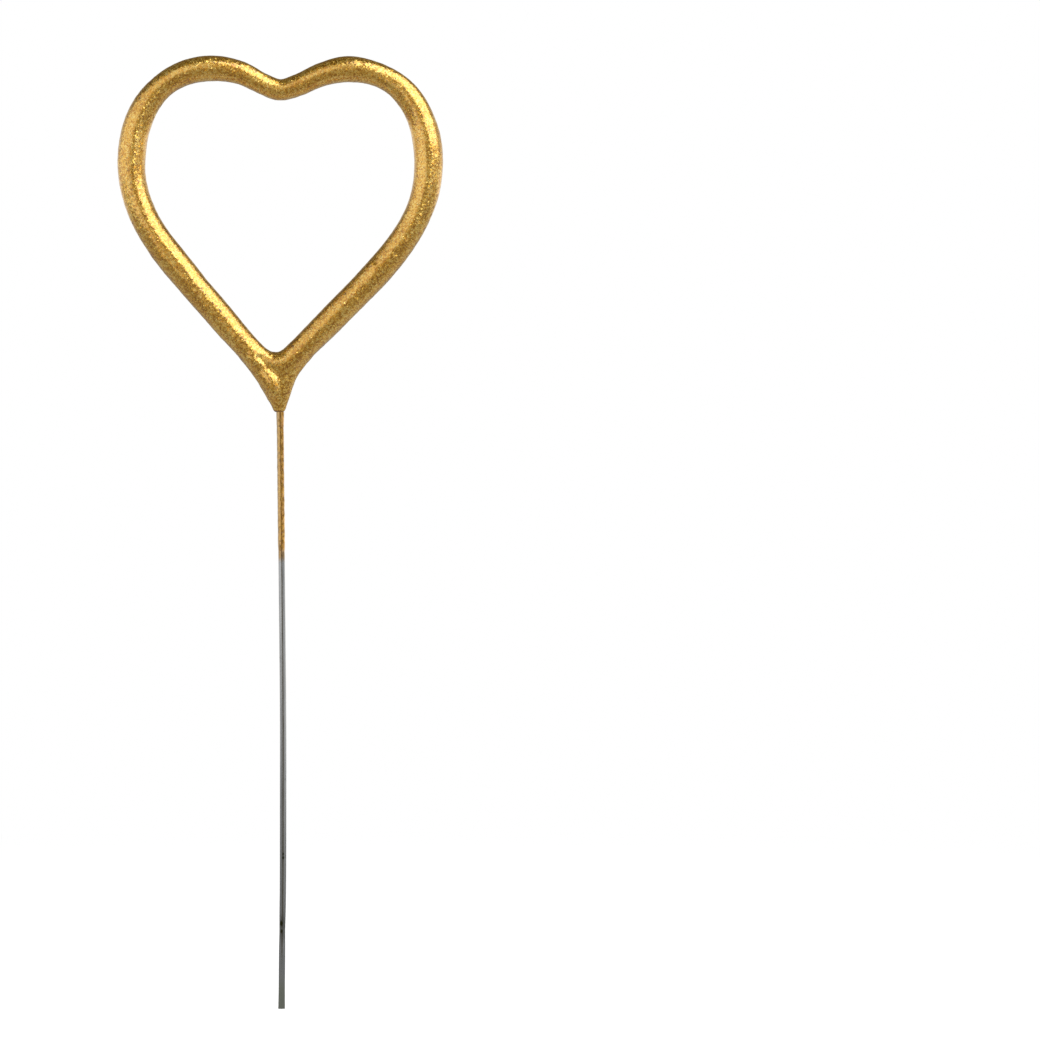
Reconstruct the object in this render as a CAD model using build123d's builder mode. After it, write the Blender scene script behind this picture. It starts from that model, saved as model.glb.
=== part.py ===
# Heart-shaped hand sparkler. One steel wire is bent into a stem and a heart, the heart is dipped in
# sparkler composition and then in a gold coat, and the gold has run some way down the stem.
import os
from math import asin, cos, degrees, radians, sin, sqrt, tan

from build123d import *

os.makedirs("parts", exist_ok=True)

# Sizes are in millimetres and angles in degrees. The stem's cut end is the origin, +Z runs up the
# stem, and the heart stands in the XZ plane.

# Steel wire
wire_diameter = 1.2
wire_bend_radius = 3.0
stem_length = 120.1
tail_length = 2.6
tail_gap = 0.2

# Heart, along the middle of the wire
right_arm_slope = 45.9
left_arm_slope = 49.4
side_radius = 31.0
lobe_radius = 15.7
lobe_offset = 12.4
cleft_radius = 6.0
crotch_radius = 5.7

# Composition on the wire, with the gold coat's thickness over it
composition_thickness = 1.15
gold_at_crotch = 0.7
gold_at_side = 0.94
gold_at_crown = 0.74
gold_at_cleft = 0.27

# Neck, where both have dripped from the heart on to the stem
neck_overlap = 0.3
composition_at_neck = 0.75
gold_at_neck = 0.72
foot_wall = 0.3
composition_drip = 2.6
gold_drip = 1.3

# Gold film on the stem, with a thicker collar below the neck
film_length = 26.5
film_thickness = 0.06
film_feather = 1.0
collar_thickness = 0.15
collar_length = 3.4

# Heart worked out from its sizes: it is widest where the side arcs run into the lobe arcs
wire_radius = wire_diameter / 2
tail_pitch = wire_diameter + tail_gap
half_width = lobe_offset + lobe_radius
lobe_turn = degrees(asin(lobe_offset / (lobe_radius + cleft_radius)))


def arm_top(slope):
    """How far an arm's upper end lies from the middle, and how far below the widest level."""
    turn = radians(90 - slope)
    return half_width - side_radius * (1 - cos(turn)), side_radius * sin(turn)


right_reach, right_drop = arm_top(right_arm_slope)
left_reach, left_drop = arm_top(left_arm_slope)
right_rise = tan(radians(right_arm_slope))
left_rise = tan(radians(left_arm_slope))
widest_height = stem_length + right_reach * right_rise + right_drop
right_arm_top = (right_reach, widest_height - right_drop)
left_arm_top = (-left_reach, widest_height - left_drop)

# The stem bends into the right arm, and the left arm bends into a tail beside the stem
stem_bend = (0, stem_length)
tail_bend = (-tail_pitch, left_arm_top[1] - (left_reach - tail_pitch) * left_rise)
tail_end = (-tail_pitch, tail_bend[1] - tail_length)

# The lines of the arms cross at the heart's point, and the coat rounds the crotch above it
point_x = (tail_bend[1] - stem_length - tail_pitch * left_rise) / (right_rise + left_rise)
point_z = stem_length + point_x * right_rise
crotch_turn = right_arm_slope + left_arm_slope
crotch_reach = crotch_radius * tan(radians(crotch_turn / 2))

# The composition's neck ends in a foot on the stem, the gold closes over it, and the film hangs below
composition_foot = tail_end[1] - composition_drip
gold_foot = composition_foot - gold_drip
collar_end = gold_foot - collar_length
film_end = gold_foot - film_length
covered_end = stem_length - wire_bend_radius


def arm_direction(side, slope):
    """Direction up the arm on one side, which is 1 for the right and -1 for the left."""
    return (side * cos(radians(slope)), sin(radians(slope)))


def arm_foot(side, slope):
    """Lower end of an arm's straight, where the crotch's arc begins."""
    across, up = arm_direction(side, slope)
    return (point_x + crotch_reach * across, point_z + crotch_reach * up)


def side_curve(top, side, slope):
    """Arc up one side of the heart, from its arm's upper end to the widest place."""
    return JernArc(top, arm_direction(side, slope), side_radius, side * (90 - slope))


def shoulder_curve(side):
    """Arc over the outer half of one lobe, from the heart's widest place to the crown."""
    return JernArc((side * half_width, widest_height), (0, 1), lobe_radius, side * 90)


def cleft_curve(side):
    """Arcs from the crown of one lobe down to the middle of the cleft."""
    crown = (side * lobe_offset, widest_height + lobe_radius)
    crown_arc = JernArc(crown, (-side, 0), lobe_radius, side * lobe_turn)
    cleft_arc = JernArc(crown_arc @ 1, crown_arc % 1, cleft_radius, -side * lobe_turn)
    return crown_arc, cleft_arc


def sweep_tube(first, last, first_radius, last_radius):
    """Round tube along the curves just drawn, whose radius may change from the first to the last."""
    ends = [(first @ 0, first % 0, first_radius)]
    if last_radius != first_radius:
        ends.append((last @ 1, last % 1, last_radius))
    sections = []
    for place, direction, radius in ends:
        with BuildSketch(Plane(place, x_dir=(0, 1, 0), z_dir=direction)) as section:
            Circle(radius)
        sections.append(section.sketch)
    sweep(sections, multisection=len(sections) > 1)


def coat_body(crotch_tube, side_tube, crown_tube, cleft_tube, tail_tube, foot):
    """Solid body of a coat, with its radius at five places from the crotch to the tail's end.

    The space for the wire is not cut.
    """
    with BuildPart() as body:
        with BuildLine(Plane.XZ):
            crotch_start = arm_foot(-1, left_arm_slope)
            down_left_arm = arm_direction(1, -left_arm_slope)
            crotch_arc = JernArc(crotch_start, down_left_arm, crotch_radius, crotch_turn)
        sweep_tube(crotch_arc, crotch_arc, crotch_tube, crotch_tube)

        # Each arm swells from the crotch to the side, and each lobe thins from the side to the cleft
        for side, slope, top in ((1, right_arm_slope, right_arm_top), (-1, left_arm_slope, left_arm_top)):
            with BuildLine(Plane.XZ):
                arm = Line(arm_foot(side, slope), top)
            sweep_tube(arm, arm, crotch_tube, side_tube)
            with BuildLine(Plane.XZ):
                side_arc = side_curve(top, side, slope)
            sweep_tube(side_arc, side_arc, side_tube, side_tube)
            with BuildLine(Plane.XZ):
                shoulder_arc = shoulder_curve(side)
            sweep_tube(shoulder_arc, shoulder_arc, side_tube, crown_tube)
            with BuildLine(Plane.XZ):
                crown_arc, cleft_arc = cleft_curve(side)
            sweep_tube(crown_arc, cleft_arc, crown_tube, cleft_tube)

        # The neck tapers from inside the crotch, over the tail's end, to the foot round the stem
        crotch = crotch_arc @ 0.5
        crotch_half_width = sqrt((crotch_radius + crotch_tube) ** 2 - crotch_radius**2)
        with BuildSketch(Plane((crotch.X, 0, crotch.Z))):
            Ellipse(crotch_half_width - neck_overlap, crotch_tube - neck_overlap / 2)
        with BuildSketch(Plane((-tail_pitch / 2, 0, tail_end[1]))):
            Ellipse(tail_pitch / 2 + tail_tube, tail_tube)
        with BuildSketch(Plane((0, 0, foot))):
            Circle(wire_radius + foot_wall)
        loft()
    return body.part


# Steel wire: the bare stem is one straight cylinder up to the film, the stem that the film and the neck
# cover is a face of its own, and the wire runs on up the right arm, round the heart and down to the tail
with BuildPart() as steel_wire:
    with BuildSketch(Plane.XY):
        Circle(wire_radius)
    extrude(amount=film_end)
    with BuildSketch(Plane.XY.offset(film_end)):
        Ellipse(wire_radius, wire_radius)
    extrude(amount=covered_end - film_end)
    with BuildLine(Plane.XZ):
        right_run = FilletPolyline((0, covered_end), stem_bend, right_arm_top, radius=wire_bend_radius)
        side_curve(right_arm_top, 1, right_arm_slope)
        shoulder_curve(1)
        cleft_curve(1)
        left_run = FilletPolyline(tail_end, tail_bend, left_arm_top, radius=wire_bend_radius)
        side_curve(left_arm_top, -1, left_arm_slope)
        shoulder_curve(-1)
        cleft_curve(-1)
    sweep_tube(right_run, left_run, wire_radius, wire_radius)

# Composition core: an even tube of composition cast on the wire, with its own neck
core_tube = wire_radius + composition_thickness
core_tail_tube = wire_radius + composition_at_neck
composition_body = coat_body(core_tube, core_tube, core_tube, core_tube, core_tail_tube, composition_foot)
with BuildPart() as composition_core:
    add(composition_body)
    add(steel_wire.part, mode=Mode.SUBTRACT)

# Gold coat: the last dip, thick at the sides, thin in the cleft and closed round the stem below the core
gold_thicknesses = (gold_at_crotch, gold_at_side, gold_at_crown, gold_at_cleft)
gold_tubes = [core_tube + thickness for thickness in gold_thicknesses]
with BuildPart() as gold_coat:
    add(coat_body(*gold_tubes, core_tail_tube + gold_at_neck, gold_foot))
    add(composition_body, mode=Mode.SUBTRACT)
    add(steel_wire.part, mode=Mode.SUBTRACT)

# Gold film: a sleeve on the stem that hangs from the foot of the neck and feathers out at its lower end
with BuildPart() as stem_gold_film:
    with BuildSketch(Plane.XZ):
        with BuildLine():
            collar = Spline(
                (wire_radius + collar_thickness, gold_foot),
                (wire_radius + film_thickness, collar_end),
                tangents=((0, -1), (0, -1)),
            )
            Polyline(
                collar @ 1,
                (wire_radius + film_thickness, film_end + film_feather),
                (wire_radius, film_end),
                (wire_radius, gold_foot),
                collar @ 0,
            )
        make_face()
    revolve(axis=Axis.Z)

pieces = {
    "steel_wire": steel_wire,
    "composition_core": composition_core,
    "gold_coat": gold_coat,
    "stem_gold_film": stem_gold_film,
}
for name, piece in pieces.items():
    piece.part.label = name
    export_step(piece.part, f"parts/{name}.step")
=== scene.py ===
"""Heart-shaped hand sparkler: its looks, stage and camera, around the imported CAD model."""
from collections import namedtuple
from math import copysign, cos, exp, pi, radians, sin

import bmesh
import bpy
from mathutils import Matrix, Vector, noise


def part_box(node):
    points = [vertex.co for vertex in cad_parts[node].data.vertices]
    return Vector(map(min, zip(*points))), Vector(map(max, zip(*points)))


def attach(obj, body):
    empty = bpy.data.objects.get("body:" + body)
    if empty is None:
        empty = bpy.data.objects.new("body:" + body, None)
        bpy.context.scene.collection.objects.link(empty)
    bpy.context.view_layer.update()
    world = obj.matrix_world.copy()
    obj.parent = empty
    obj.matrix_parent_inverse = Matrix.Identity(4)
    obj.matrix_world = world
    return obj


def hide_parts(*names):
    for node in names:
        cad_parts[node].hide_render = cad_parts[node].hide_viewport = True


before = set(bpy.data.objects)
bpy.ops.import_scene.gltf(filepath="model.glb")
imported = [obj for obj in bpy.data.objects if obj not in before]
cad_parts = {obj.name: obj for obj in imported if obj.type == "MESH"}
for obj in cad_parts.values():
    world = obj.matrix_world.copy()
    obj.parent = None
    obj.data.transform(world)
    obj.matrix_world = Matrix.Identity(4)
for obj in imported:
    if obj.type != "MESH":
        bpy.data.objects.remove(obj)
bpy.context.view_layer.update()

# Shapes are worked out in millimetres, with the stem's cut end at the origin, and made in metres.
MM = 0.001

# Middle line of the coat, round the heart from the crotch up the right arm: x, z and radius
COAT_STATIONS = (
    (-1.0, 121.35, 2.45),
    (1.3, 121.95, 2.45),
    (3.7, 124.1, 2.44),
    (7.8, 128.1, 2.54),
    (13.0, 133.4, 2.59),
    (18.1, 138.7, 2.68),
    (22.3, 143.8, 2.63),
    (24.9, 147.8, 2.57),
    (26.8, 152.2, 2.61),
    (27.8, 156.9, 2.69),
    (27.9, 161.6, 2.75),
    (27.0, 166.4, 2.63),
    (25.0, 170.7, 2.5),
    (21.8, 174.3, 2.3),
    (17.4, 176.5, 2.31),
    (12.6, 177.2, 2.48),
    (7.9, 176.2, 2.2),
    (3.6, 174.3, 2.1),
    (0.0, 173.3, 2.02),
    (-3.4, 174.5, 2.04),
    (-7.8, 176.6, 2.22),
    (-12.6, 177.35, 2.42),
    (-17.5, 176.65, 2.4),
    (-21.8, 174.4, 2.32),
    (-25.1, 170.8, 2.48),
    (-27.1, 166.4, 2.61),
    (-28.0, 161.6, 2.69),
    (-28.0, 157.2, 2.6),
    (-27.1, 152.9, 2.57),
    (-25.5, 148.8, 2.61),
    (-23.2, 145.0, 2.71),
    (-20.6, 141.5, 2.78),
    (-15.9, 135.8, 2.67),
    (-11.0, 130.1, 2.58),
    (-6.1, 124.5, 2.45),
    (-3.5, 122.1, 2.45),
)
COAT_STEPS = 10
COAT_SEGMENTS = 48

# Neck, from inside the crotch down to its foot on the stem: z, middle x, half width and half depth.
# Its rings are a little pointed: a roundness of two would make them ellipses
NECK_SECTIONS = (
    (122.7, -0.95, 7.2, 1.7),
    (121.6, -0.98, 6.15, 2.1),
    (120.5, -0.92, 5.2, 2.4),
    (119.3, -0.9, 4.3, 2.5),
    (118.2, -0.76, 3.63, 2.5),
    (117.1, -0.67, 3.08, 2.4),
    (115.9, -0.5, 2.5, 2.15),
    (114.8, -0.37, 1.98, 1.75),
    (113.7, -0.22, 1.43, 1.35),
    (113.1, -0.2, 1.22, 1.15),
    (112.7, -0.19, 0.95, 0.92),
    (112.55, -0.15, 0.84, 0.82),
)
NECK_STEPS = 4
NECK_ROUNDNESS = 1.7

# On the neck's front and back the left run of wire stands out as a ridge beside a hollow: x and z, with
# the size and height of each
NECK_RIDGE = ((-5.9, 121.9), (-4.4, 120.4), (-3.2, 119.1), (-2.2, 118.0), (-1.5, 116.4))
NECK_RIDGE_SIZE = 1.25
NECK_RIDGE_HEIGHT = 0.32
NECK_HOLLOW = ((-3.6, 122.7), (-2.4, 121.3), (-1.2, 120.1), (-0.2, 119.0), (0.1, 117.0), (0.15, 112.6))
NECK_HOLLOW_SIZE = 0.9
NECK_HOLLOW_HEIGHT = -0.38

# One skin over the tube and the neck, and turns of smoothing on it, fewer on the neck's foot
COAT_VOXEL = 0.2
COAT_SMOOTHING = 6
FOOT_SMOOTHING = 2
FOOT_TOP = 113.8
SMOOTHING_FACTOR = 0.5

# The fork is smoothed further, so that the arms run into the neck. The first turn takes in the whole
# height from its foot to its top, and later turns draw in towards its middle
FORK_SMOOTHING = 40
FORK_FOOT = 116.5
FORK_MIDDLE = 121.5
FORK_TOP = 127.0

# Relief of the coat: slow swells of the dip, grains of composition under the gold, and a few lumps and
# pits, as x, y, z, size and height
SWELL_SIZE = 5.5
SWELL_HEIGHT = 0.09
GRAIN_SIZE = 0.9
GRAIN_HEIGHT = 0.032
LUMPS = (
    ((-21.3, -2.2, 141.6), 0.7, 0.16),
    ((23.1, -2.3, 144.3), 0.8, 0.18),
    ((21.9, -2.4, 142.2), 0.5, -0.14),
    ((17.8, -2.5, 139.9), 0.6, 0.13),
    ((16.2, -2.0, 177.9), 0.6, 0.1),
    ((-24.6, 0.4, 141.8), 0.8, 0.1),
    ((9.2, 2.2, 129.6), 0.8, 0.12),
    ((-18.0, 2.2, 177.2), 0.7, 0.12),
    ((-10.5, 2.4, 130.4), 0.7, -0.12),
)

# Thickness of the gold over the composition
GOLD_THICKNESS = 0.8

# Steel wire: its slight bow as z and x, its bend into the right arm and its tail as x and z, the flare at
# its cut end, and a pinch above that
WIRE_RADIUS = 0.6
WIRE_STEPS = 12
WIRE_SEGMENTS = 24
STEM_BOW = (
    (0.0, 0.23),
    (13.0, 0.34),
    (24.0, 0.48),
    (40.0, 0.51),
    (58.0, 0.49),
    (84.6, 0.23),
    (112.5, -0.05),
)
WIRE_BEND = ((0.0, 118.2), (0.75, 120.3))
WIRE_TAIL = ((-2.0, 119.6), (-1.4, 118.4), (-1.4, 116.5))
TIP_FLARE = 0.045
TIP_FLARE_LENGTH = 5.5
PINCH_DEPTH = 0.05
PINCH_HEIGHT = 14.5
PINCH_LENGTH = 2.5

# Gold film on the stem: a thicker collar at its top, a mottle on it, and a ragged lower end that feathers
# out. The ragged end is coarse noise with a share of finer noise
FILM_TOP = 112.53
FILM_END = 86.1
FILM_SEGMENTS = 32
FILM_RINGS = 90
FILM_THICKNESS = 0.06
FILM_CLEARANCE = 0.004
FILM_FEATHER = 1.4
COLLAR_THICKNESS = 0.15
COLLAR_LENGTH = 3.4
MOTTLE_HEIGHT = 0.03
MOTTLE_SCALE = 1.4
RAGGED_DEPTH = 0.5
RAGGED_COARSE = 1.7
RAGGED_FINE = 4.1
RAGGED_FINE_SHARE = 0.6


def neighbour(points, index, closed):
    """The point at an index, which runs on round a closed line and stops at the ends of an open one."""
    if closed:
        return points[index % len(points)]
    return points[min(max(index, 0), len(points) - 1)]


def spline(points, steps, closed):
    """Points on a smooth curve through the given ones, with the same number of steps in each span."""
    points = [Vector(point) for point in points]
    spans = len(points) if closed else len(points) - 1
    made = []
    for i in range(spans):
        a, b, c, d = (neighbour(points, i + offset, closed) for offset in (-1, 0, 1, 2))
        for step in range(steps):
            t = step / steps
            bend = (2 * a - 5 * b + 4 * c - d) * t**2 + (3 * b - a - 3 * c + d) * t**3
            made.append(b + ((c - a) * t + bend) / 2)
    return made if closed else made + [points[-1]]


def angles_round(segments):
    """Angles at even steps, once round."""
    return [2 * pi * k / segments for k in range(segments)]


def tube_rings(line, segments, closed):
    """Rings round a line of x, z and radius in the XZ plane."""
    rings = []
    for i, (x, z, radius) in enumerate(line):
        before = neighbour(line, i - 1, closed)
        after = neighbour(line, i + 1, closed)
        run = Vector((after[0] - before[0], 0, after[1] - before[1])).normalized()
        across = Vector((run.z, 0, -run.x))
        depth = Vector((0, 1, 0))
        middle = Vector((x, 0, z))
        rings.append([middle + radius * (cos(a) * across + sin(a) * depth) for a in angles_round(segments)])
    return rings


def skin(bm, rings, closed):
    """Faces over rings of equal length, with sharp-edged caps on an open tube."""
    loops = [[bm.verts.new(p) for p in ring] for ring in rings]
    following = loops[1:] + loops[:1] if closed else loops[1:]
    for loop, upper in zip(loops, following):
        for k in range(len(loop)):
            after = (k + 1) % len(loop)
            bm.faces.new((loop[k], loop[after], upper[after], upper[k]))
    if not closed:
        for loop in (loops[0], loops[-1]):
            for edge in bm.faces.new(loop).edges:
                edge.smooth = False


def finished_mesh(bm, name):
    """Smooth-shaded mesh in metres from one that was built in millimetres."""
    bmesh.ops.recalc_face_normals(bm, faces=bm.faces)
    for face in bm.faces:
        face.smooth = True
    mesh = bpy.data.meshes.new(name)
    bm.to_mesh(mesh)
    bm.free()
    mesh.transform(Matrix.Scale(MM, 4))
    return mesh


def add_piece(name, bm, node, material):
    """A piece that stands for one CAD node."""
    mesh = finished_mesh(bm, name)
    mesh.materials.append(material)
    piece = bpy.data.objects.new(name, mesh)
    bpy.context.scene.collection.objects.link(piece)
    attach(piece, "root")
    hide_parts(node)


def remeshed(bm, voxel):
    """The same volume with one even skin over it."""
    mesh = bpy.data.meshes.new("remesh")
    bm.to_mesh(mesh)
    bm.free()
    holder = bpy.data.objects.new("remesh", mesh)
    bpy.context.scene.collection.objects.link(holder)
    modifier = holder.modifiers.new("even", "REMESH")
    modifier.mode = "VOXEL"
    modifier.voxel_size = voxel
    evaluated = holder.evaluated_get(bpy.context.evaluated_depsgraph_get())
    even = bmesh.new()
    even.from_mesh(evaluated.to_mesh())
    evaluated.to_mesh_clear()
    bpy.data.objects.remove(holder)
    bpy.data.meshes.remove(mesh)
    return even


# Nodes

def new_material(name):
    """An empty node material with a Principled shader: the material, its tree and the shader."""
    material = bpy.data.materials.new(name)
    material.use_nodes = True
    tree = material.node_tree
    tree.nodes.clear()
    shader = tree.nodes.new("ShaderNodeBsdfPrincipled")
    output = tree.nodes.new("ShaderNodeOutputMaterial")
    tree.links.new(shader.outputs["BSDF"], output.inputs["Surface"])
    return material, tree, shader


def add_node(tree, kind, inputs=(), **settings):
    """A node with its settings, and inputs given as name or number with a value or a socket."""
    node = tree.nodes.new(kind)
    for name, value in settings.items():
        setattr(node, name, value)
    for key, value in dict(inputs).items():
        if isinstance(value, bpy.types.NodeSocket):
            tree.links.new(value, node.inputs[key])
        else:
            node.inputs[key].default_value = value
    return node


def calculate(tree, operation, *values, clamp=False):
    """One step of arithmetic between sockets and numbers."""
    node = add_node(tree, "ShaderNodeMath", dict(enumerate(values)), operation=operation)
    node.use_clamp = clamp
    return node.outputs["Value"]


def plus(tree, first, second):
    """Sum of two sockets or numbers."""
    return calculate(tree, "ADD", first, second)


def times(tree, first, second):
    """Product of two sockets or numbers."""
    return calculate(tree, "MULTIPLY", first, second)


def vector_step(tree, operation, inputs, output="Vector"):
    """One step of arithmetic between vectors."""
    return add_node(tree, "ShaderNodeVectorMath", inputs, operation=operation).outputs[output]


def object_place(tree):
    """Place on the object, in its own units."""
    return add_node(tree, "ShaderNodeTexCoord").outputs["Object"]


def object_mm(tree):
    """Place on the object, in millimetres."""
    return vector_step(tree, "SCALE", {0: object_place(tree), "Scale": 1 / MM})


def axes(tree, vector):
    """A vector's three parts, by the names X, Y and Z."""
    return add_node(tree, "ShaderNodeSeparateXYZ", {"Vector": vector}).outputs


def noise_at(tree, place, scale, detail, roughness=0.5):
    """Noise at a place in millimetres, with so many features to a millimetre."""
    inputs = {"Vector": place, "Scale": scale, "Detail": detail, "Roughness": roughness}
    return add_node(tree, "ShaderNodeTexNoise", inputs).outputs["Fac"]


def bump_normal(tree, height, distance, strength):
    """Surface normal with a bump, whose distance is in millimetres."""
    inputs = {"Height": height, "Distance": distance * MM, "Strength": strength}
    return add_node(tree, "ShaderNodeBump", inputs).outputs["Normal"]


def ramp(tree, factor, stops):
    """Colour along a factor, from stops of place and linear colour."""
    node = add_node(tree, "ShaderNodeValToRGB", {"Fac": factor})
    elements = node.color_ramp.elements
    while len(elements) < len(stops):
        elements.new(0.5)
    for element, (place, colour) in zip(elements, stops):
        element.position = place
        element.color = (*colour, 1)
    return node.outputs["Color"]


def span(tree, value, low, high, to_low=0.0, to_high=1.0):
    """A value's place between two others, smoothed at both ends."""
    inputs = {"Value": value, "From Min": low, "From Max": high, "To Min": to_low, "To Max": to_high}
    return add_node(tree, "ShaderNodeMapRange", inputs, interpolation_type="SMOOTHSTEP").outputs["Result"]


def mix(tree, factor, first, second):
    """Mix of a colour, a socket or four numbers, with a second one given as three numbers."""
    # The colours are the mix node's inputs 6 and 7 and its output 2
    node = add_node(tree, "ShaderNodeMix", {"Factor": factor, 6: first, 7: (*second, 1)}, data_type="RGBA")
    return node.outputs[2]


# Gold: four tones along a ramp, a greyer colour that is mixed in more on the left than on the right, and a
# band at each lower end, as the heights between which it takes over and its colour. On the coat the band is
# a painted shade line round its foot, where the neck turns under; on the film it is a stain
GOLD_TONES = (
    (0.1, (0.42, 0.17, 0.004)),
    (0.33, (0.64, 0.29, 0.01)),
    (0.51, (0.84, 0.455, 0.036)),
    (0.74, (0.95, 0.65, 0.16)),
)
GOLD_GREYED = (0.25, 0.2, 0.085)
# Painted shade: a dark line round the foot of the coat, where the neck turns under
PAINTED_FOOT_SHADE = (112.85, 112.6, (0.25, 0.105, 0.008))
FILM_STAIN = (87.0, 86.0, (0.5, 0.31, 0.14))

# The tone at a place comes from its flake, from fine noise and from slow patches, each with a weight.
# Their usual sum is taken off before the contrast, and the middle of the ramp is put in its place
FLAKE_WEIGHT = 0.55
FINE_SCALE = 3.4
FINE_WEIGHT = 0.95
PATCH_SCALE = 0.22
PATCH_WEIGHT = 0.4
USUAL_SUM = 0.95
RAMP_MIDDLE = 0.485
FLAKE_MIDDLE = (0.5, 0.5, 0.5)
FLAKE_POWER = 2.0
GOLD_METALLIC = 0.83
LACQUER_IOR = 1.7
LACQUER_SMOOTHER = 0.02

# Finish of the gold: flakes to a millimetre, their least and greatest tilt, height of the bump, range of
# roughness, contrast of the tones, how the pattern is scaled along x, y and z, how much duller than the
# coat, how much of the greyer colour is mixed in on the right and on the left, and the band at the lower
# end, which on the coat is a painted shade line and on the film a stain
GoldFinish = namedtuple(
    "GoldFinish", "flakes tilts bump roughness contrast stretch dullness thinness stain"
)
COAT_FINISH = GoldFinish(
    flakes=4.0,
    tilts=(0.05, 0.45),
    bump=0.013,
    roughness=(0.24, 0.32),
    contrast=1.0,
    stretch=(1.0, 1.0, 1.0),
    dullness=0.0,
    thinness=(0.0, 0.0),
    stain=PAINTED_FOOT_SHADE,
)
FILM_FINISH = GoldFinish(
    flakes=5.0,
    tilts=(0.02, 0.14),
    bump=0.008,
    roughness=(0.12, 0.18),
    contrast=0.6,
    stretch=(1.0, 1.0, 0.35),
    dullness=0.16,
    thinness=(0.12, 0.62),
    stain=FILM_STAIN,
)


def flake_normal(tree, cell, tilts, bump):
    """Surface normal that each flake of pigment tilts its own way, a few of them far, over a bump."""
    centred = vector_step(tree, "SUBTRACT", {0: cell, 1: FLAKE_MIDDLE})
    chance = add_node(tree, "ShaderNodeTexWhiteNoise", {"Vector": cell}).outputs["Value"]
    tilt = span(tree, calculate(tree, "POWER", chance, FLAKE_POWER), 0.0, 1.0, *tilts)
    leaning = vector_step(tree, "SCALE", {0: centred, "Scale": tilt})
    tilted = vector_step(tree, "ADD", {0: bump, 1: leaning})
    return vector_step(tree, "NORMALIZE", {0: tilted})


def gold_material(name, finish):
    """Gold paint: metal flakes of many tones in a lacquer, patchy where the dip has run."""
    material, tree, shader = new_material(name)
    place = object_mm(tree)
    stretched = vector_step(tree, "MULTIPLY", {0: place, 1: finish.stretch})
    inputs = {"Vector": stretched, "Scale": finish.flakes}
    cell = add_node(tree, "ShaderNodeTexVoronoi", inputs).outputs["Color"]
    flake = add_node(tree, "ShaderNodeSeparateColor", {"Color": cell}).outputs["Red"]
    fine = noise_at(tree, stretched, FINE_SCALE, detail=3.0, roughness=0.65)
    patch = noise_at(tree, place, PATCH_SCALE, detail=2.0)

    # Tone of the gold
    tone = plus(tree, times(tree, flake, FLAKE_WEIGHT), times(tree, fine, FINE_WEIGHT))
    tone = plus(tree, tone, times(tree, patch, PATCH_WEIGHT))
    tone = times(tree, calculate(tree, "SUBTRACT", tone, USUAL_SUM), finish.contrast)
    tone = calculate(tree, "ADD", tone, RAMP_MIDDLE - finish.dullness, clamp=True)
    colour = ramp(tree, tone, GOLD_TONES)

    # Greyer towards the left, and the band at the lower end: painted shade at the coat's foot, a stain at
    # the film's end
    along = axes(tree, place)
    greyed_share = span(tree, along["X"], WIRE_RADIUS, -WIRE_RADIUS, *finish.thinness)
    colour = mix(tree, greyed_share, colour, GOLD_GREYED)
    band_start, band_full, stain_and_shade_colour = finish.stain
    colour = mix(tree, span(tree, along["Z"], band_start, band_full), colour, stain_and_shade_colour)

    bump = bump_normal(tree, fine, finish.bump, 1.0)
    tree.links.new(colour, shader.inputs["Base Color"])
    tree.links.new(span(tree, flake, 0.0, 1.0, *finish.roughness), shader.inputs["Roughness"])
    tree.links.new(flake_normal(tree, cell, finish.tilts, bump), shader.inputs["Normal"])
    shader.inputs["Metallic"].default_value = GOLD_METALLIC
    shader.inputs["Coat Weight"].default_value = 1.0
    shader.inputs["Coat IOR"].default_value = LACQUER_IOR
    shader.inputs["Coat Roughness"].default_value = finish.roughness[0] - LACQUER_SMOOTHER
    return material


# Steel wire: its tones along the streaks, which are drawn out along it, and spots of oxide where slow
# noise is high
STEEL_TONES = (
    (0.3, (0.235, 0.24, 0.242)),
    (0.5, (0.345, 0.35, 0.35)),
    (0.72, (0.41, 0.415, 0.415)),
)
STREAK_STRETCH = (4.0, 4.0, 0.12)
STREAK_SCALE = 1.6
STREAK_BUMP = 0.03
STREAK_BUMP_STRENGTH = 0.6
STREAK_ROUGHNESS = (0.3, 0.7, 0.09, 0.15)
OXIDE = (0.042, 0.045, 0.014)
OXIDE_SCALE = 0.55
OXIDE_SPOTS = (0.66, 0.74)

# Tints on the wire: the height where each begins, the height where it is full, its share and its colour.
# The first is duller steel, the second the cut end and the third the stain below the film
WIRE_TINTS = (
    (70.0, 25.0, 0.55, (0.255, 0.26, 0.255)),
    (7.0, 3.0, 0.75, (0.26, 0.28, 0.22)),
    (84.0, 85.4, 0.9, (0.34, 0.215, 0.09)),
)

# A dark patch of scale above the cut end, between a foot and a top, and marks of oxide and pits, drawn
# out along the wire, as x, y, z and size
SCALE_COLOUR = (0.13, 0.135, 0.12)
SCALE_FOOT = (11.5, 14.0)
SCALE_TOP = (18.5, 16.5, 0.0, 0.6)
MARK_STRETCH = (1.0, 1.0, 0.55)
WIRE_MARKS = (
    ((0.22, -0.5, 16.1), 0.36),
    ((0.26, -0.5, 14.6), 0.26),
    ((0.57, -0.6, 28.5), 0.24),
    ((0.56, -0.6, 29.2), 0.2),
    ((0.3, 0.55, 47.0), 0.3),
    ((0.95, 0.3, 66.0), 0.25),
)


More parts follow.
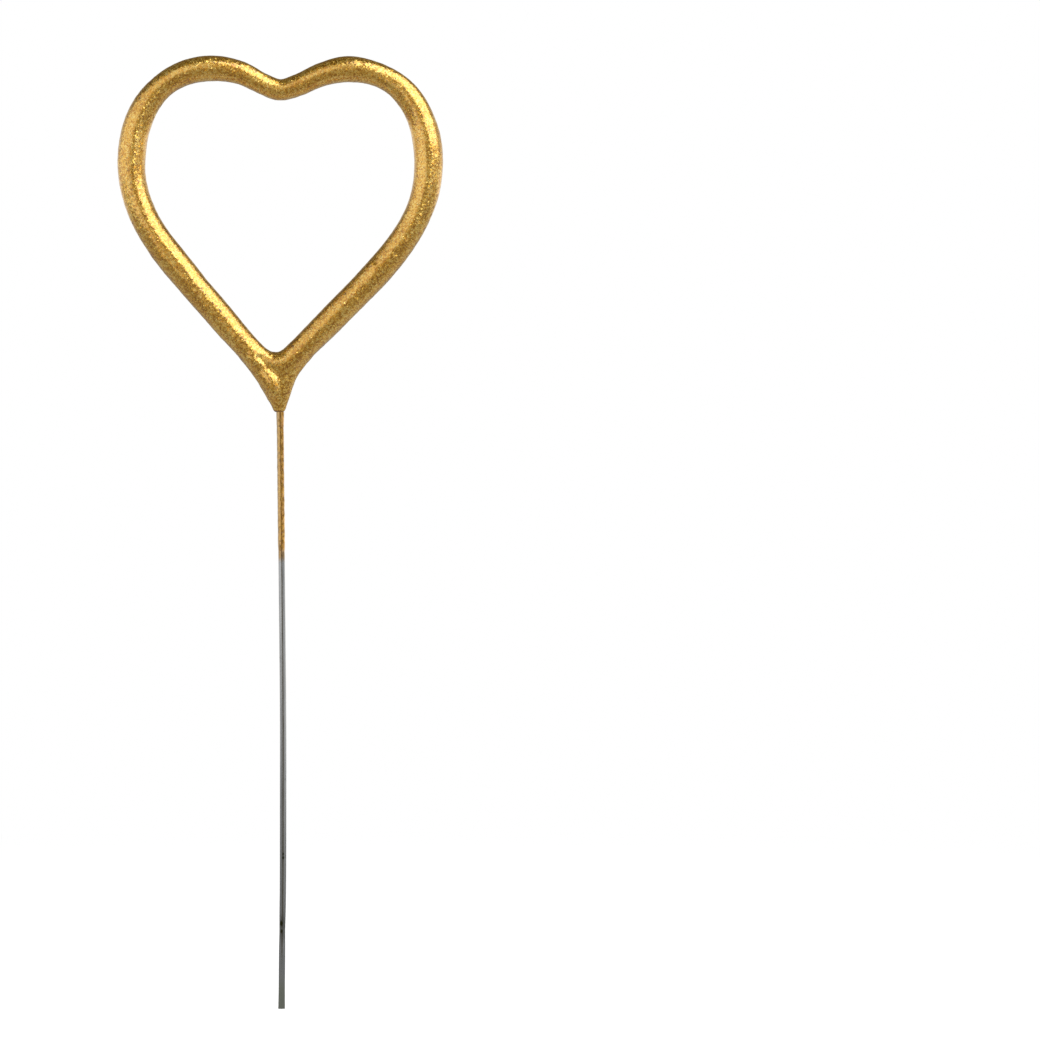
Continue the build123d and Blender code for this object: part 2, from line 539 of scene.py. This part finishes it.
def steel_material():
    """Drawn steel wire: streaks along its length, oxide, scale, and a tint at either end."""
    material, tree, shader = new_material("steel_wire")
    place = object_mm(tree)
    inputs = {"Vector": place, "Scale": STREAK_STRETCH}
    drawn = add_node(tree, "ShaderNodeMapping", inputs).outputs["Vector"]
    streak = noise_at(tree, drawn, STREAK_SCALE, detail=3.0, roughness=0.6)
    colour = ramp(tree, streak, STEEL_TONES)
    oxide = noise_at(tree, place, OXIDE_SCALE, detail=4.0, roughness=0.6)
    colour = mix(tree, span(tree, oxide, *OXIDE_SPOTS), colour, OXIDE)
    height = axes(tree, place)["Z"]
    for begin, full, share, tint in WIRE_TINTS:
        colour = mix(tree, span(tree, height, begin, full, 0.0, share), colour, tint)
    scaly = times(tree, span(tree, height, *SCALE_FOOT), span(tree, height, *SCALE_TOP))
    colour = mix(tree, scaly, colour, SCALE_COLOUR)
    stretched = vector_step(tree, "MULTIPLY", {0: place, 1: MARK_STRETCH})
    for middle, size in WIRE_MARKS:
        centre = Vector(middle) * Vector(MARK_STRETCH)
        distance = vector_step(tree, "DISTANCE", {0: stretched, 1: centre}, output="Value")
        colour = mix(tree, span(tree, distance, size, size / 2), colour, OXIDE)
    bump = bump_normal(tree, streak, STREAK_BUMP, STREAK_BUMP_STRENGTH)
    tree.links.new(colour, shader.inputs["Base Color"])
    tree.links.new(span(tree, streak, *STREAK_ROUGHNESS), shader.inputs["Roughness"])
    tree.links.new(bump, shader.inputs["Normal"])
    shader.inputs["Metallic"].default_value = 1.0
    return material


# Composition: tones of the paste, and the metal grains in it
PASTE_TONES = ((0.3, (0.07, 0.07, 0.068)), (0.7, (0.17, 0.165, 0.16)))
PASTE_SCALE = 1.2
PASTE_BUMP = 0.15
PASTE_BUMP_STRENGTH = 0.8
PASTE_ROUGHNESS = 0.85
METAL_GRAIN = (0.42, 0.42, 0.4)
METAL_GRAIN_SCALE = 2.6
METAL_GRAIN_EDGE = (0.18, 0.08)


def composition_material():
    """Dried sparkler composition: a matt grey paste with metal grains in it."""
    material, tree, shader = new_material("composition")
    place = object_mm(tree)
    paste = noise_at(tree, place, PASTE_SCALE, detail=4.0, roughness=0.6)
    inputs = {"Vector": place, "Scale": METAL_GRAIN_SCALE}
    grains = add_node(tree, "ShaderNodeTexVoronoi", inputs).outputs["Distance"]
    colour = ramp(tree, paste, PASTE_TONES)
    colour = mix(tree, span(tree, grains, *METAL_GRAIN_EDGE), colour, METAL_GRAIN)
    bump = bump_normal(tree, paste, PASTE_BUMP, PASTE_BUMP_STRENGTH)
    tree.links.new(colour, shader.inputs["Base Color"])
    tree.links.new(bump, shader.inputs["Normal"])
    shader.inputs["Roughness"].default_value = PASTE_ROUGHNESS
    return material


# Gold coat: the tube round the heart and the neck become one skin, and the dip's relief goes on it

def along_line(place, line, size, height):
    """Relief at a place beside a line of x and z on the neck, which fades with the distance from it."""
    if place.z > FORK_TOP:
        return 0
    nearest = min((place.x - x) ** 2 + (place.z - z) ** 2 for x, z in line)
    return height * exp(-nearest / size**2)


def coat_relief(place, facing):
    """How far the coat stands out at a place, in millimetres.

    The neck's ridge and hollow show as far as the coat is facing the front or the back there.
    """
    relief = SWELL_HEIGHT * noise.noise(place / SWELL_SIZE)
    # Grains, and finer ones of half the size and height
    relief += GRAIN_HEIGHT * noise.noise(place / GRAIN_SIZE)
    relief += GRAIN_HEIGHT / 2 * noise.noise(place * 2 / GRAIN_SIZE)
    for middle, size, height in LUMPS:
        relief += height * exp(-((place - Vector(middle)).length / size) ** 2)
    ridge = along_line(place, neck_ridge, NECK_RIDGE_SIZE, NECK_RIDGE_HEIGHT)
    hollow = along_line(place, neck_hollow, NECK_HOLLOW_SIZE, NECK_HOLLOW_HEIGHT)
    return relief + (ridge + hollow) * facing


def smooth(bm, low, high):
    """One turn of smoothing on the points between two heights."""
    verts = [vert for vert in bm.verts if low < vert.co.z < high]
    bmesh.ops.smooth_vert(
        bm, verts=verts, factor=SMOOTHING_FACTOR, use_axis_x=True, use_axis_y=True, use_axis_z=True
    )


def pointed(value):
    """A cosine or sine for a ring of the neck."""
    return copysign(abs(value) ** (2 / NECK_ROUNDNESS), value)


neck_ridge = spline(NECK_RIDGE, COAT_STEPS, closed=False)
neck_hollow = spline(NECK_HOLLOW, COAT_STEPS, closed=False)
coat_line = spline(COAT_STATIONS, COAT_STEPS, closed=True)
neck_rings = []
for z, x, width, depth in spline(NECK_SECTIONS, NECK_STEPS, closed=False):
    ring = []
    for angle in angles_round(COAT_SEGMENTS):
        ring.append(Vector((x + width * pointed(cos(angle)), depth * pointed(sin(angle)), z)))
    neck_rings.append(ring)
coat = bmesh.new()
skin(coat, tube_rings(coat_line, COAT_SEGMENTS, closed=True), closed=True)
skin(coat, neck_rings, closed=False)
bmesh.ops.recalc_face_normals(coat, faces=coat.faces)
coat = remeshed(coat, COAT_VOXEL)
coat_low, coat_high = (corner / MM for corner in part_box("gold_coat"))
above_coat = coat_high.z + 1
for turn in range(COAT_SMOOTHING):
    smooth(coat, 0 if turn < FOOT_SMOOTHING else FOOT_TOP, above_coat)
for turn in range(FORK_SMOOTHING):
    reach = 1 - turn / FORK_SMOOTHING
    fork_low = FORK_MIDDLE + (FORK_FOOT - FORK_MIDDLE) * reach
    fork_high = FORK_MIDDLE + (FORK_TOP - FORK_MIDDLE) * reach
    smooth(coat, fork_low, fork_high)
coat.normal_update()
for vert in coat.verts:
    moved = vert.co + vert.normal * coat_relief(vert.co, abs(vert.normal.y))
    vert.co = [min(max(c, low), high) for c, low, high in zip(moved, coat_low, coat_high)]
add_piece("gold_coat_dip", coat, "gold_coat", gold_material("gold_coat", COAT_FINISH))

# Steel wire: the bowed stem, the bend into the right arm, once round the heart, and the tail. Each point
# of its line is x, z and radius, and its cut end is level
stem = [(x, z, WIRE_RADIUS) for z, x in STEM_BOW]
round_heart = [(x, z, WIRE_RADIUS) for x, z, _ in COAT_STATIONS[2:-1]]
bend = [(x, z, WIRE_RADIUS) for x, z in WIRE_BEND]
tail = [(x, z, WIRE_RADIUS) for x, z in WIRE_TAIL]
wire_line = spline(stem + bend + round_heart + tail, WIRE_STEPS, closed=False)
for point in wire_line:
    point[2] += TIP_FLARE * max(0, 1 - point[1] / TIP_FLARE_LENGTH) ** 2
    point[2] -= PINCH_DEPTH * exp(-(((point[1] - PINCH_HEIGHT) / PINCH_LENGTH) ** 2))
wire_rings = tube_rings(wire_line, WIRE_SEGMENTS, closed=False)
for point in wire_rings[0]:
    point.z = 0
wire = bmesh.new()
skin(wire, wire_rings, closed=False)
add_piece("drawn_wire", wire, "steel_wire", steel_material())

# Gold film: a sleeve on the bowed stem, with a collar at its top and a ragged, feathered lower end
stem_line = wire_line[: len(STEM_BOW) * WIRE_STEPS]


def stem_middle(height):
    """The stem's x at a height, from the nearest point of the wire's own line."""
    x, _, _ = min(stem_line, key=lambda point: abs(point[1] - height))
    return x


film_rings = []
for i in range(FILM_RINGS + 1):
    ring = []
    for angle in angles_round(FILM_SEGMENTS):
        side = Vector((cos(angle), sin(angle), 0))
        ragged = noise.noise(side * RAGGED_COARSE) + RAGGED_FINE_SHARE * noise.noise(side * RAGGED_FINE)
        end = FILM_END + RAGGED_DEPTH * ragged
        z = FILM_TOP + (end - FILM_TOP) * i / FILM_RINGS
        taper = max(0, 1 - (FILM_TOP - z) / COLLAR_LENGTH)
        collar = taper * taper * (3 - 2 * taper) * (COLLAR_THICKNESS - FILM_THICKNESS)
        mottle = MOTTLE_HEIGHT * noise.noise(Vector((side.x, side.y, z)) * MOTTLE_SCALE)
        feather = min(1, (z - end) / FILM_FEATHER)
        radius = WIRE_RADIUS + (FILM_THICKNESS + collar + mottle) * feather + FILM_CLEARANCE
        ring.append(Vector((stem_middle(z), 0, z)) + radius * side)
    film_rings.append(ring)
film = bmesh.new()
skin(film, film_rings, closed=False)
film_gold = gold_material("gold_film", FILM_FINISH)
add_piece("gold_film_sleeve", film, "stem_gold_film", film_gold)

# Composition core: the tube under the gold, which follows the coat's own line
core_line = [(x, z, radius - GOLD_THICKNESS) for x, z, radius in coat_line]
core = bmesh.new()
skin(core, tube_rings(core_line, COAT_SEGMENTS, closed=True), closed=True)
add_piece("composition_tube", core, "composition_core", composition_material())

# Floor: pale, lifted to white for the camera where nothing shades it, and plain white far from the object
FLOOR_RADIUS = 0.6
FLOOR_SEGMENTS = 96
FLOOR_MIDDLE = (0, 0.5, 0)
FLOOR_COLOUR = (0.55, 0.55, 0.55, 1)
FLOOR_LIFT = 0.74
FLOOR_FADE = (0.15, 0.45)

# Surround: white to the camera. To gloss it is a studio that is brighter behind than in front and dark
# overhead, with a low band of light at the sides, warm except there. To other rays it is an even light
# that fades overhead. Each band is the two ends of a span along the direction's x, y or z, with the
# levels at those ends where they aren't 0 and 1
WORLD_AMBIENT = 0.62
WORLD_BACK = 0.48
WORLD_FRONT = 0.24
WORLD_SIDES = 0.75
WORLD_WHITE = (1, 1, 1, 1)
WORLD_WARMTH = (1.0, 0.9, 0.72)
BACK_ALONG_Y = (-0.1, 0.5)
BACK_ALONG_Z = (0.6, 0.1, 0.12, 1.0)
SIDES_TOP = (0.02, -0.01)
SIDES_FOOT = (-0.14, -0.03)
SIDES_ALONG_X = (0.35, 0.55)
SIDES_LEFT_TO_RIGHT = (-0.3, 0.3, 0.5, 1.0)
AMBIENT_ALONG_Z = (0.7, 0.0, 0.15, 1.0)


def ray_kinds(tree):
    """Two sockets: one for the camera's rays, and one for the rays of gloss and glass."""
    path = add_node(tree, "ShaderNodeLightPath").outputs
    gloss_ray = calculate(tree, "MAXIMUM", path["Is Glossy Ray"], path["Is Transmission Ray"])
    return path["Is Camera Ray"], gloss_ray


def floor_material():
    """Floor that keeps the object's shadow and turns into plain white for the camera."""
    material = bpy.data.materials.new("floor")
    material.use_nodes = True
    tree = material.node_tree
    tree.nodes.clear()
    camera_ray, _ = ray_kinds(tree)
    distance = vector_step(tree, "LENGTH", {0: object_place(tree)}, output="Value")
    lit = add_node(tree, "ShaderNodeBsdfDiffuse", {"Color": FLOOR_COLOUR}).outputs["BSDF"]
    lift = add_node(tree, "ShaderNodeEmission", {"Strength": times(tree, camera_ray, FLOOR_LIFT)})
    near = add_node(tree, "ShaderNodeAddShader", {0: lit, 1: lift.outputs["Emission"]}).outputs["Shader"]
    white = add_node(tree, "ShaderNodeEmission", {"Strength": 1.0}).outputs["Emission"]
    far = times(tree, span(tree, distance, *FLOOR_FADE), camera_ray)
    surface = add_node(tree, "ShaderNodeMixShader", {0: far, 1: near, 2: white}).outputs["Shader"]
    add_node(tree, "ShaderNodeOutputMaterial", {"Surface": surface})
    return material


def surround():
    """World that shows each kind of ray its own light."""
    world = bpy.data.worlds.new("surround")
    world.use_nodes = True
    tree = world.node_tree
    tree.nodes.clear()
    camera_ray, gloss_ray = ray_kinds(tree)
    other_ray = calculate(tree, "SUBTRACT", 1.0, plus(tree, gloss_ray, camera_ray))
    toward = axes(tree, add_node(tree, "ShaderNodeTexCoord").outputs["Generated"])

    # Studio for gloss: the backdrop, and the band at the sides, which is weaker on the left
    backdrop = plus(tree, times(tree, span(tree, toward["Y"], *BACK_ALONG_Y), WORLD_BACK), WORLD_FRONT)
    backdrop = times(tree, backdrop, span(tree, toward["Z"], *BACK_ALONG_Z))
    aside = span(tree, calculate(tree, "ABSOLUTE", toward["X"]), *SIDES_ALONG_X)
    sides = times(tree, span(tree, toward["Z"], *SIDES_TOP), span(tree, toward["Z"], *SIDES_FOOT))
    sides = times(tree, sides, span(tree, toward["X"], *SIDES_LEFT_TO_RIGHT))
    sides = times(tree, times(tree, sides, aside), WORLD_SIDES)
    studio = plus(tree, backdrop, sides)

    ambient = times(tree, span(tree, toward["Z"], *AMBIENT_ALONG_Z), WORLD_AMBIENT)
    strength = plus(tree, times(tree, gloss_ray, studio), camera_ray)
    strength = plus(tree, strength, times(tree, other_ray, ambient))
    warm = times(tree, gloss_ray, calculate(tree, "SUBTRACT", 1.0, aside))
    colour = mix(tree, warm, WORLD_WHITE, WORLD_WARMTH)
    background = add_node(tree, "ShaderNodeBackground", {"Color": colour, "Strength": strength})
    add_node(tree, "ShaderNodeOutputWorld", {"Surface": background.outputs["Background"]})
    return world


bpy.ops.mesh.primitive_circle_add(vertices=FLOOR_SEGMENTS, radius=FLOOR_RADIUS, fill_type="NGON")
floor = bpy.context.object
floor.name = "floor"
floor.data.transform(Matrix.Translation(FLOOR_MIDDLE))
floor.data.materials.append(floor_material())
bpy.context.scene.world = surround()

# Two soft lamps, aimed at the heart: name, direction from it, distance, width and height, and power
HEART_MIDDLE = Vector((0, 0, 0.145))
LAMPS = (
    ("key_right", (0.618, -0.433, 0.656), 0.9, (1.3, 1.0), 10.2),
    ("fill_left", (-0.8, -0.6, 0.36), 0.9, (1.8, 0.9), 4.0),
)
for name, direction, distance, (width, height), power in LAMPS:
    lamp = bpy.data.lights.new(name, "AREA")
    lamp.shape = "RECTANGLE"
    lamp.size = width
    lamp.size_y = height
    lamp.energy = power
    holder = bpy.data.objects.new(name, lamp)
    holder.location = HEART_MIDDLE + Vector(direction).normalized() * distance
    holder.rotation_euler = (HEART_MIDDLE - holder.location).to_track_quat("-Z", "Y").to_euler()
    bpy.context.scene.collection.objects.link(holder)

# Camera, square on to the heart, which stands left of the picture's middle
CAMERA_LENS = 150
CAMERA_SENSOR = 36
PICTURE_WIDTH = 0.19619
PICTURE_MIDDLE = (0.0452, 0.09216)
camera_data = bpy.data.cameras.new("camera")
camera_data.lens = CAMERA_LENS
camera_data.sensor_width = CAMERA_SENSOR
camera = bpy.data.objects.new("camera", camera_data)
camera_distance = PICTURE_WIDTH * CAMERA_LENS / CAMERA_SENSOR
camera.location = (PICTURE_MIDDLE[0], -camera_distance, PICTURE_MIDDLE[1])
camera.rotation_euler = (radians(90), 0, 0)
bpy.context.scene.collection.objects.link(camera)
bpy.context.scene.camera = camera
bpy.context.scene.view_settings.view_transform = "Standard"
